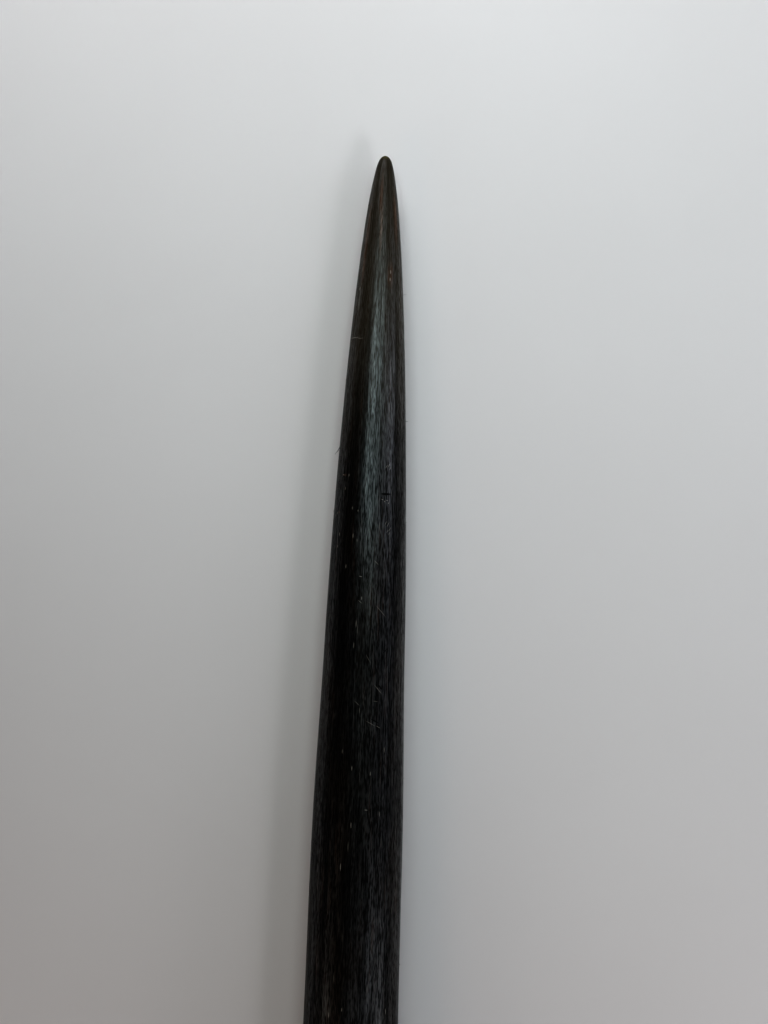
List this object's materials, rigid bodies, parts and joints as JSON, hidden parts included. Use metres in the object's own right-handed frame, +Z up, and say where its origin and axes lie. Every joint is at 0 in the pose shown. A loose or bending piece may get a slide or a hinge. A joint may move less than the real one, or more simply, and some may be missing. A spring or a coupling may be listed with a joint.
{
  "type": "oryx horn",
  "caption": "Long, slender, slightly bent antelope horn, ringed over its lower half, smooth and pointed above, hollow at its sawn base, lying on its side.",
  "frame": {"origin": "on the surface that the horn lies on, at the middle of its bounding box", "axes": "+Y from the sawn base to the tip, +Z up, -X towards the horn's convex front edge"},
  "size_m": [0.0666, 0.852, 0.0535],
  "materials": {
    "keratin": "satin brown-black horn keratin with fine lengthwise grain, lighter and redder towards the tip"
  },
  "bodies": {
    "root": {"horn": "keratin"}
  },
  "joints": []
}
